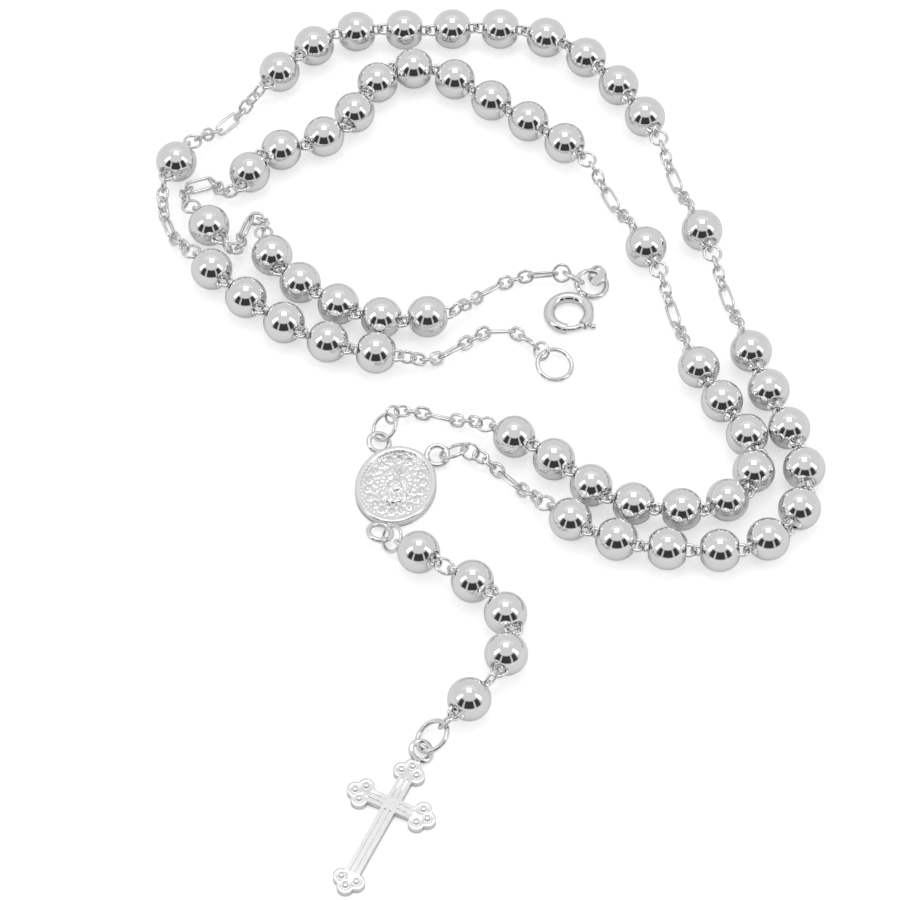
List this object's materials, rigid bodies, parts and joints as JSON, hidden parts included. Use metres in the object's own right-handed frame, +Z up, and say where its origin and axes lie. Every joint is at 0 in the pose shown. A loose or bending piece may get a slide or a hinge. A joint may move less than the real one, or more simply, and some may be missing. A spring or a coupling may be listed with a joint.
{
  "type": "rosary",
  "caption": "Silver rosary necklace with round beads, figaro chain, an oval centre medal, a budded cross and a spring ring clasp, lying loosely coiled.",
  "frame": {"origin": "middle of the centre medal's flat back, where it lies on the table", "axes": "+Z up from the table, +Y along the table away from the cross, +X to the right"},
  "size_m": [0.0959, 0.1521, 0.006],
  "materials": {
    "silver_beads": "mirror-polished silver",
    "silver_chain": "polished silver",
    "silver_cast": "polished cast silver",
    "silver_wire": "polished silver",
    "spring_steel": "bright drawn wire"
  },
  "bodies": {
    "centre_medal": {"centre_medal": "silver_cast"},
    "jump_ring_left": {"jump_ring_left": "silver_wire"},
    "chain_left_1": {"chain_left_1": "silver_chain"},
    "decade_a_1": {"decade_a_1": "silver_beads"},
    "decade_a_2": {"decade_a_2": "silver_beads"},
    "decade_a_3": {"decade_a_3": "silver_beads"},
    "decade_a_4": {"decade_a_4": "silver_beads"},
    "decade_a_5": {"decade_a_5": "silver_beads"},
    "chain_left_2": {"chain_left_2": "silver_chain"},
    "single_a": {"single_a": "silver_beads"},
    "chain_left_3": {"chain_left_3": "silver_chain"},
    "decade_b_1": {"decade_b_1": "silver_beads"},
    "decade_b_2": {"decade_b_2": "silver_beads"},
    "decade_b_3": {"decade_b_3": "silver_beads"},
    "decade_b_4": {"decade_b_4": "silver_beads"},
    "decade_b_5": {"decade_b_5": "silver_beads"},
    "chain_left_4": {"chain_left_4": "silver_chain"},
    "single_b": {"single_b": "silver_beads"},
    "chain_left_5": {"chain_left_5": "silver_chain"},
    "decade_c_1": {"decade_c_1": "silver_beads"},
    "decade_c_2": {"decade_c_2": "silver_beads"},
    "chain_left_6": {"chain_left_6": "silver_chain"},
    "clasp_ring": {"clasp_ring": "silver_wire"},
    "jump_ring_right": {"jump_ring_right": "silver_wire"},
    "chain_right_1": {"chain_right_1": "silver_chain"},
    "decade_d_1": {"decade_d_1": "silver_beads"},
    "decade_d_2": {"decade_d_2": "silver_beads"},
    "decade_d_3": {"decade_d_3": "silver_beads"},
    "decade_d_4": {"decade_d_4": "silver_beads"},
    "decade_d_5": {"decade_d_5": "silver_beads"},
    "chain_right_2": {"chain_right_2": "silver_chain"},
    "single_d": {"single_d": "silver_beads"},
    "chain_right_3": {"chain_right_3": "silver_chain"},
    "decade_e_1": {"decade_e_1": "silver_beads"},
    "decade_e_2": {"decade_e_2": "silver_beads"},
    "decade_e_3": {"decade_e_3": "silver_beads"},
    "decade_e_4": {"decade_e_4": "silver_beads"},
    "decade_e_5": {"decade_e_5": "silver_beads"},
    "chain_right_4": {"chain_right_4": "silver_chain"},
    "single_e": {"single_e": "silver_beads"},
    "chain_right_5": {"chain_right_5": "silver_chain"},
    "decade_f_1": {"decade_f_1": "silver_beads"},
    "decade_f_2": {"decade_f_2": "silver_beads"},
    "chain_right_6": {"chain_right_6": "silver_chain"},
    "end_ring": {"end_ring": "silver_wire"},
    "jump_ring_lower": {"jump_ring_lower": "silver_wire"},
    "pendant_bead_1": {"pendant_bead_1": "silver_beads"},
    "pendant_ring_1": {"pendant_ring_1": "silver_wire"},
    "pendant_bead_2": {"pendant_bead_2": "silver_beads"},
    "pendant_bead_3": {"pendant_bead_3": "silver_beads"},
    "pendant_bead_4": {"pendant_bead_4": "silver_beads"},
    "pendant_ring_2": {"pendant_ring_2": "silver_wire"},
    "pendant_bead_5": {"pendant_bead_5": "silver_beads"},
    "pendant_ring_3": {"pendant_ring_3": "silver_wire"},
    "cross_ring": {"cross_ring": "silver_wire"},
    "clasp_case": {"clasp_case": "silver_wire", "clasp_spring": "spring_steel"},
    "clasp_bolt": {"clasp_bolt": "silver_wire"},
    "clasp_tag": {"clasp_tag": "silver_cast"},
    "cross": {"cross": "silver_cast"}
  },
  "joints": [
    {"name": "jump_ring_left_swing", "type": "hinge", "parent": "centre_medal", "child": "jump_ring_left", "pos_m": [-0.0019, 0.00873, 0.0014], "axis": [0.97, -0.243, 0], "range_deg": [-30, 15]},
    {"name": "chain_left_1_swing", "type": "hinge", "parent": "jump_ring_left", "child": "chain_left_1", "pos_m": [-0.00121, 0.01149, 0.00235], "axis": [0.8796, -0.4756, 0], "range_deg": [-20, 20]},
    {"name": "decade_a_1_swing", "type": "hinge", "parent": "chain_left_1", "child": "decade_a_1", "pos_m": [0.01379, 0.00877, 0.00308], "axis": [0.4641, 0.8858, 0], "range_deg": [-35, 35]},
    {"name": "decade_a_2_swing", "type": "hinge", "parent": "decade_a_1", "child": "decade_a_2", "pos_m": [0.02521, 0.00071, 0.003], "axis": [0.6574, 0.7536, 0], "range_deg": [-35, 35]},
    {"name": "decade_a_3_swing", "type": "hinge", "parent": "decade_a_2", "child": "decade_a_3", "pos_m": [0.03689, -0.0056, 0.003], "axis": [-0.1639, -0.9865, 0], "range_deg": [-35, 35]},
    {"name": "decade_a_4_swing", "type": "hinge", "parent": "decade_a_3", "child": "decade_a_4", "pos_m": [0.04983, -0.0022, 0.003], "axis": [0.7481, -0.6636, 0], "range_deg": [-30, 30]},
    {"name": "decade_a_5_swing", "type": "hinge", "parent": "decade_a_4", "child": "decade_a_5", "pos_m": [0.04783, 0.01096, 0.003], "axis": [-0.8776, -0.4794, 0], "range_deg": [-35, 35]},
    {"name": "chain_left_2_swing", "type": "hinge", "parent": "decade_a_5", "child": "chain_left_2", "pos_m": [0.04155, 0.02298, 0.003], "axis": [-0.947, -0.3213, 0], "range_deg": [-35, 35]},
    {"name": "single_a_swing", "type": "hinge", "parent": "chain_left_2", "child": "single_a", "pos_m": [0.03742, 0.03823, 0.00308], "axis": [0.933, 0.3599, 0], "range_deg": [-35, 35]},
    {"name": "chain_left_3_swing", "type": "hinge", "parent": "single_a", "child": "chain_left_3", "pos_m": [0.03455, 0.04484, 0.003], "axis": [0.9096, 0.4155, 0], "range_deg": [-35, 35]},
    {"name": "decade_b_1_swing", "type": "hinge", "parent": "chain_left_3", "child": "decade_b_1", "pos_m": [0.02716, 0.05878, 0.00308], "axis": [-0.749, -0.6626, 0], "range_deg": [-35, 35]},
    {"name": "decade_b_2_swing", "type": "hinge", "parent": "decade_b_1", "child": "decade_b_2", "pos_m": [0.01608, 0.06739, 0.003], "axis": [-0.5946, -0.804, 0], "range_deg": [-35, 35]},
    {"name": "decade_b_3_swing", "type": "hinge", "parent": "decade_b_2", "child": "decade_b_3", "pos_m": [0.00525, 0.07564, 0.003], "axis": [0.3625, 0.932, 0], "range_deg": [-35, 35]},
    {"name": "decade_b_4_swing", "type": "hinge", "parent": "decade_b_3", "child": "decade_b_4", "pos_m": [-0.00572, 0.06965, 0.003], "axis": [-0.8569, 0.5155, 0], "range_deg": [-35, 35]},
    {"name": "decade_b_5_swing", "type": "hinge", "parent": "decade_b_4", "child": "decade_b_5", "pos_m": [-0.01442, 0.06018, 0.003], "axis": [0.3946, -0.9188, 0], "range_deg": [-35, 35]},
    {"name": "chain_left_4_swing", "type": "hinge", "parent": "decade_b_5", "child": "chain_left_4", "pos_m": [-0.02363, 0.05182, 0.003], "axis": [0.6939, -0.72, 0], "range_deg": [-35, 35]},
    {"name": "single_b_swing", "type": "hinge", "parent": "chain_left_4", "child": "single_b", "pos_m": [-0.02948, 0.04795, 0.00308], "axis": [-0.7803, -0.6254, 0], "range_deg": [-35, 35]},
    {"name": "chain_left_5_swing", "type": "hinge", "parent": "single_b", "child": "chain_left_5", "pos_m": [-0.0252, 0.04214, 0.003], "axis": [-0.8065, -0.5913, 0], "range_deg": [-35, 35]},
    {"name": "decade_c_1_swing", "type": "hinge", "parent": "chain_left_5", "child": "decade_c_1", "pos_m": [-0.01972, 0.04279, 0.00308], "axis": [0.993, 0.1181, 0], "range_deg": [-35, 35]},
    {"name": "decade_c_2_swing", "type": "hinge", "parent": "decade_c_1", "child": "decade_c_2", "pos_m": [-0.01092, 0.03233, 0.003], "axis": [0.5808, 0.8141, 0], "range_deg": [-35, 35]},
    {"name": "chain_left_6_swing", "type": "hinge", "parent": "decade_c_2", "child": "chain_left_6", "pos_m": [0.0082, 0.02934, 0.003], "axis": [0.439, -0.8985, 0], "range_deg": [-35, 35]},
    {"name": "clasp_ring_swing", "type": "hinge", "parent": "chain_left_6", "child": "clasp_ring", "pos_m": [0.02419, 0.03683, 0.0025], "axis": [-0.0672, -0.9977, 0], "range_deg": [-20, 35]},
    {"name": "jump_ring_right_swing", "type": "hinge", "parent": "centre_medal", "child": "jump_ring_right", "pos_m": [0.00721, 0.00538, 0.0014], "axis": [-0.1162, 0.9932, 0], "range_deg": [-25, 5]},
    {"name": "chain_right_1_swing", "type": "hinge", "parent": "jump_ring_right", "child": "chain_right_1", "pos_m": [0.01004, 0.00571, 0.00235], "axis": [0.1115, 0.9938, 0], "range_deg": [-35, 35]},
    {"name": "decade_d_1_swing", "type": "hinge", "parent": "chain_right_1", "child": "decade_d_1", "pos_m": [0.02163, -0.00519, 0.00308], "axis": [-0.6619, -0.7496, 0], "range_deg": [-35, 35]},
    {"name": "decade_d_2_swing", "type": "hinge", "parent": "decade_d_1", "child": "decade_d_2", "pos_m": [0.03433, -0.01185, 0.003], "axis": [-0.2298, -0.9732, 0], "range_deg": [-35, 35]},
    {"name": "decade_d_3_swing", "type": "hinge", "parent": "decade_d_2", "child": "decade_d_3", "pos_m": [0.04882, -0.01234, 0.003], "axis": [-0.2539, 0.9672, 0], "range_deg": [-35, 35]},
    {"name": "decade_d_4_swing", "type": "hinge", "parent": "decade_d_3", "child": "decade_d_4", "pos_m": [0.05785, -0.00175, 0.003], "axis": [-0.9869, 0.1613, 0], "range_deg": [-35, 35]},
    {"name": "decade_d_5_swing", "type": "hinge", "parent": "decade_d_4", "child": "decade_d_5", "pos_m": [0.05396, 0.0122, 0.003], "axis": [0.9326, 0.3609, 0], "range_deg": [-35, 35]},
    {"name": "chain_right_2_swing", "type": "hinge", "parent": "decade_d_5", "child": "chain_right_2", "pos_m": [0.04954, 0.02599, 0.003], "axis": [0.9655, 0.2604, 0], "range_deg": [-35, 35]},
    {"name": "single_d_swing", "type": "hinge", "parent": "chain_right_2", "child": "single_d", "pos_m": [0.04536, 0.04123, 0.00308], "axis": [-0.954, -0.2999, 0], "range_deg": [-35, 35]},
    {"name": "chain_right_3_swing", "type": "hinge", "parent": "single_d", "child": "chain_right_3", "pos_m": [0.04311, 0.04808, 0.003], "axis": [-0.9489, -0.3157, 0], "range_deg": [-35, 35]},
    {"name": "decade_e_1_swing", "type": "hinge", "parent": "chain_right_3", "child": "decade_e_1", "pos_m": [0.03813, 0.06307, 0.00308], "axis": [0.9185, 0.3954, 0], "range_deg": [-35, 35]},
    {"name": "decade_e_2_swing", "type": "hinge", "parent": "decade_e_1", "child": "decade_e_2", "pos_m": [0.03049, 0.0753, 0.003], "axis": [0.7596, 0.6504, 0], "range_deg": [-35, 35]},
    {"name": "decade_e_3_swing", "type": "hinge", "parent": "decade_e_2", "child": "decade_e_3", "pos_m": [0.01857, 0.0832, 0.003], "axis": [-0.2513, -0.9679, 0], "range_deg": [-35, 35]},
    {"name": "decade_e_4_swing", "type": "hinge", "parent": "decade_e_3", "child": "decade_e_4", "pos_m": [0.00407, 0.08295, 0.003], "axis": [0.021, -0.9998, 0], "range_deg": [-35, 35]},
    {"name": "decade_e_5_swing", "type": "hinge", "parent": "decade_e_4", "child": "decade_e_5", "pos_m": [-0.01037, 0.0823, 0.003], "axis": [-0.3907, 0.9205, 0], "range_deg": [-35, 35]},
    {"name": "chain_right_4_swing", "type": "hinge", "parent": "decade_e_5", "child": "chain_right_4", "pos_m": [-0.02036, 0.07174, 0.003], "axis": [-0.7617, 0.6479, 0], "range_deg": [-35, 35]},
    {"name": "single_e_swing", "type": "hinge", "parent": "chain_right_4", "child": "single_e", "pos_m": [-0.0313, 0.06035, 0.00308], "axis": [0.8103, -0.586, 0], "range_deg": [-35, 35]},
    {"name": "chain_right_5_swing", "type": "hinge", "parent": "single_e", "child": "chain_right_5", "pos_m": [-0.03455, 0.05388, 0.003], "axis": [0.9506, -0.3104, 0], "range_deg": [-35, 35]},
    {"name": "decade_f_1_swing", "type": "hinge", "parent": "chain_right_5", "child": "decade_f_1", "pos_m": [-0.02915, 0.03954, 0.00308], "axis": [-0.7434, -0.6689, 0], "range_deg": [-35, 35]},
    {"name": "decade_f_2_swing", "type": "hinge", "parent": "decade_f_1", "child": "decade_f_2", "pos_m": [-0.019, 0.02925, 0.003], "axis": [-0.6387, -0.7695, 0], "range_deg": [-35, 35]},
    {"name": "chain_right_6_swing", "type": "hinge", "parent": "decade_f_2", "child": "chain_right_6", "pos_m": [0.00089, 0.02128, 0.003], "axis": [0.14, 0.9902, 0], "range_deg": [-35, 35]},
    {"name": "end_ring_swing", "type": "hinge", "parent": "chain_right_6", "child": "end_ring", "pos_m": [0.02098, 0.02334, 0.0012], "axis": [0.7537, 0.6572, 0], "range_deg": [-35, 35]},
    {"name": "jump_ring_lower_swing", "type": "hinge", "parent": "centre_medal", "child": "jump_ring_lower", "pos_m": [-0.00103, -0.00906, 0.00151], "axis": [-0.682, -0.7313, 0], "range_deg": [-35, 30]},
    {"name": "pendant_bead_1_swing", "type": "hinge", "parent": "jump_ring_lower", "child": "pendant_bead_1", "pos_m": [0.00078, -0.01075, 0.00276], "axis": [0.6483, 0.7614, 0], "range_deg": [-35, 25]},
    {"name": "pendant_ring_1_swing", "type": "hinge", "parent": "pendant_bead_1", "child": "pendant_ring_1", "pos_m": [0.00572, -0.01454, 0.00351], "axis": [0.4596, 0.8881, 0], "range_deg": [-35, 35]},
    {"name": "pendant_bead_2_swing", "type": "hinge", "parent": "pendant_ring_1", "child": "pendant_bead_2", "pos_m": [0.00808, -0.01576, 0.0028], "axis": [-0.4991, -0.8666, 0], "range_deg": [-35, 35]},
    {"name": "pendant_bead_3_swing", "type": "hinge", "parent": "pendant_bead_2", "child": "pendant_bead_3", "pos_m": [0.014, -0.0196, 0.003], "axis": [-0.7489, -0.6627, 0], "range_deg": [-35, 35]},
    {"name": "pendant_bead_4_swing", "type": "hinge", "parent": "pendant_bead_3", "child": "pendant_bead_4", "pos_m": [0.01688, -0.02635, 0.003], "axis": [0.9993, 0.0376, 0], "range_deg": [-35, 35]},
    {"name": "pendant_ring_2_swing", "type": "hinge", "parent": "pendant_bead_4", "child": "pendant_ring_2", "pos_m": [0.01384, -0.03313, 0.003], "axis": [0.8536, -0.5209, 0], "range_deg": [-35, 35]},
    {"name": "pendant_bead_5_swing", "type": "hinge", "parent": "pendant_ring_2", "child": "pendant_bead_5", "pos_m": [0.0128, -0.03388, 0.003], "axis": [-0.7446, 0.6675, 0], "range_deg": [-35, 35]},
    {"name": "pendant_ring_3_swing", "type": "hinge", "parent": "pendant_bead_5", "child": "pendant_ring_3", "pos_m": [0.0076, -0.03969, 0.003], "axis": [-0.7233, 0.6906, 0], "range_deg": [-35, 35]},
    {"name": "cross_ring_swing", "type": "hinge", "parent": "pendant_ring_3", "child": "cross_ring", "pos_m": [0.00682, -0.04038, 0.0025], "axis": [0.6586, -0.7525, 0], "range_deg": [-35, 35]},
    {"name": "cross_swing", "type": "hinge", "parent": "cross_ring", "child": "cross", "pos_m": [0.00432, -0.04257, 0.00105], "axis": [0.9026, -0.4305, 0], "range_deg": [-5, 25]},
    {"name": "clasp_case_swing", "type": "hinge", "parent": "clasp_ring", "child": "clasp_case", "pos_m": [0.02598, 0.03671, 0.00119], "axis": [0.2588, 0.9659, 0], "range_deg": [-35, 35]},
    {"name": "clasp_bolt_turn", "type": "hinge", "parent": "clasp_case", "child": "clasp_bolt", "pos_m": [0.02479, 0.03079, 0.0008], "axis": [0, 0, 1], "range_deg": [0, 48], "deforming": ["clasp_spring"]},
    {"name": "clasp_tag_swing", "type": "hinge", "parent": "clasp_case", "child": "clasp_tag", "pos_m": [0.02871, 0.03829, 0.00092], "axis": [-0.9659, -0.2588, 0], "range_deg": [-15, 35]}
  ]
}
